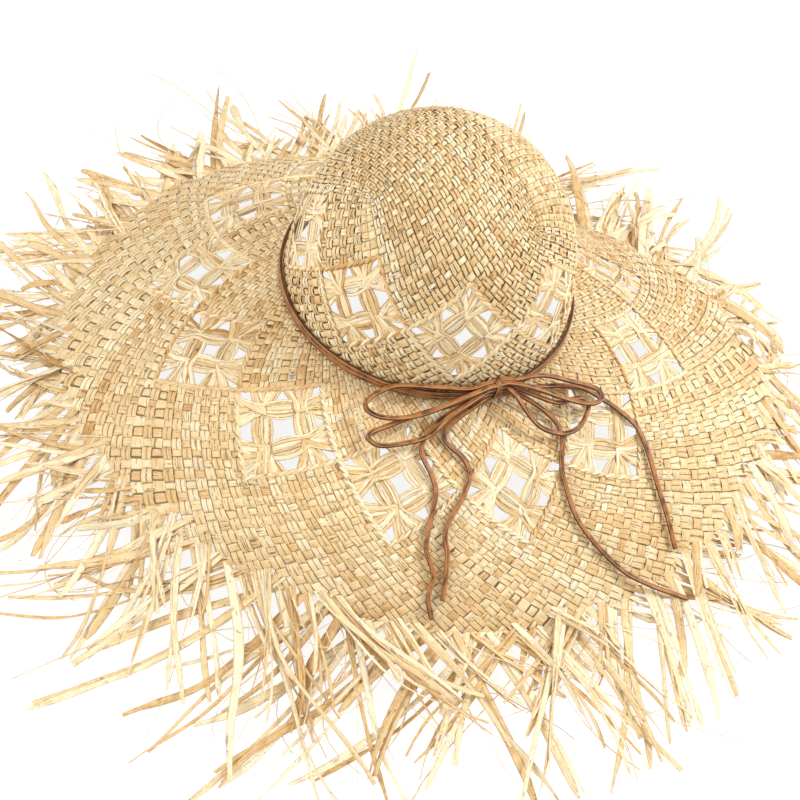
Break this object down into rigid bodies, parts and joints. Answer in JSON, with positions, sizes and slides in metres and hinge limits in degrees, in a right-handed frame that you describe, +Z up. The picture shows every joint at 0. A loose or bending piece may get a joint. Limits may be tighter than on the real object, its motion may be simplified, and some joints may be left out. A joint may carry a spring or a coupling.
{
  "type": "straw sun hat",
  "caption": "Wide floppy sun hat of plaited raffia with a domed crown, rings of openwork diamonds, a frayed fringe and a leather lace tied round the crown in a bow.",
  "frame": {"origin": "on the floor under the crown's axis, which is the middle of the hat's outline", "axes": "+Z up along the crown's axis, -Y towards the bow, +X to the right of someone facing the bow"},
  "size_m": [0.6093, 0.609, 0.2228],
  "materials": {
    "raffia": "plaited natural raffia, matt with a faint sheen along each strand",
    "gathered_raffia": "gathered raffia strands with open windows",
    "loose_raffia": "loose raffia strand ends",
    "cotton_band": "woven cotton grosgrain",
    "brown_leather": "matt brown leather lace"
  },
  "bodies": {
    "hat": {"crown": "raffia", "brim": "raffia", "crown_panel_01": "gathered_raffia", "crown_panel_02": "gathered_raffia", "crown_panel_03": "gathered_raffia", "crown_panel_04": "gathered_raffia", "crown_panel_05": "gathered_raffia", "crown_panel_06": "gathered_raffia", "crown_panel_07": "gathered_raffia", "crown_panel_08": "gathered_raffia", "brim_panel_01": "gathered_raffia", "brim_panel_02": "gathered_raffia", "brim_panel_03": "gathered_raffia", "brim_panel_04": "gathered_raffia", "brim_panel_05": "gathered_raffia", "brim_panel_06": "gathered_raffia", "brim_panel_07": "gathered_raffia", "brim_panel_08": "gathered_raffia", "brim_panel_09": "gathered_raffia", "brim_panel_10": "gathered_raffia", "brim_panel_11": "gathered_raffia", "brim_panel_12": "gathered_raffia", "fringe_01": "loose_raffia", "fringe_02": "loose_raffia", "fringe_03": "loose_raffia", "fringe_04": "loose_raffia", "fringe_05": "loose_raffia", "fringe_06": "loose_raffia", "fringe_07": "loose_raffia", "fringe_08": "loose_raffia", "fringe_09": "loose_raffia", "fringe_10": "loose_raffia", "fringe_11": "loose_raffia", "fringe_12": "loose_raffia", "sweatband": "cotton_band"},
    "lace": {"lace_knot": "brown_leather", "lace_wrap_lower": "brown_leather", "lace_wrap_upper": "brown_leather", "bow_loop_left_upper": "brown_leather", "bow_loop_left_lower": "brown_leather", "bow_loop_right_upper": "brown_leather", "bow_loop_right_lower": "brown_leather", "tail_left_outer": "brown_leather", "tail_left_inner": "brown_leather", "tail_right_inner": "brown_leather", "tail_right_outer": "brown_leather"}
  },
  "joints": [
    {"name": "lace_slide", "type": "slide", "parent": "hat", "child": "lace", "axis": [0, 0, 1], "range_m": [0, 0.03]}
  ]
}
